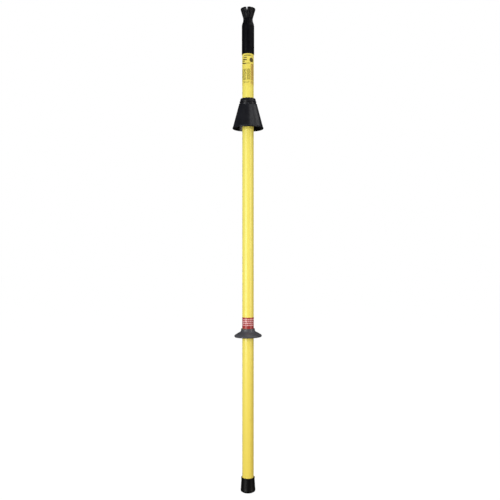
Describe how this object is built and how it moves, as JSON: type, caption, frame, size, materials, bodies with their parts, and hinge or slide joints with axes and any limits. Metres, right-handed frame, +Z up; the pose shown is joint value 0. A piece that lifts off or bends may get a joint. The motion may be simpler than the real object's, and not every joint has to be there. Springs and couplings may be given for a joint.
{
  "type": "insulating pole",
  "caption": "Straight insulating pole with a flared bayonet coupling head, open rain cone, red limit mark, hand guard and rubber foot.",
  "frame": {"origin": "centre of the rubber foot's underside, on the pole's axis", "axes": "+Z up the pole towards the coupling head, -Y to the front where one rim notch faces, +X to the right seen from the front"},
  "size_m": [0.087, 0.087, 1.352],
  "materials": {
    "yellow_tube": "smooth glass-fibre reinforced resin, semi-gloss, coloured right through",
    "foam": "closed-cell polyurethane foam",
    "grey_plastic": "moulded polyamide, satin",
    "seal_rubber": "nitrile O-ring, greased",
    "foot_rubber": "moulded rubber, glossy",
    "steel": "zinc plated",
    "guard_rubber": "moulded dark grey rubber, satin",
    "red_tape": "red adhesive tape with pale printed lines",
    "label_film": "printed film on the yellow tube",
    "cone_rubber": "moulded black rubber, satin",
    "clamp_plastic": "black plastic band",
    "head_plastic": "black glass-filled polyamide, satin",
    "pin_plastic": "black glass-filled polyamide rod",
    "plunger_plastic": "machined black acetal",
    "spring_steel": "stainless spring wire"
  },
  "bodies": {
    "pole": {"pole_tube": "yellow_tube", "foam_core": "foam", "bottom_plug": "grey_plastic", "bottom_plug_seal": "seal_rubber", "foot_cap": "foot_rubber", "foot_washer": "steel", "hand_guard": "guard_rubber", "limit_mark_band": "red_tape", "rating_label": "label_film", "rain_cone": "cone_rubber", "cone_clamp_ring": "clamp_plastic", "coupling_head": "head_plastic", "head_cross_pin": "pin_plastic", "top_plug": "grey_plastic", "top_plug_seal": "seal_rubber", "spring_seat_washer": "steel", "plunger_spring": "spring_steel"},
    "plunger": {"plunger": "plunger_plastic", "plunger_wiper_seal": "seal_rubber"}
  },
  "joints": [
    {"name": "plunger_slide", "type": "slide", "parent": "pole", "child": "plunger", "axis": [0, 0, -1], "range_m": [0, 0.01], "stiffness_N_per_m": 1500, "springref_m": -0.004, "deforming": ["plunger_spring"]}
  ]
}
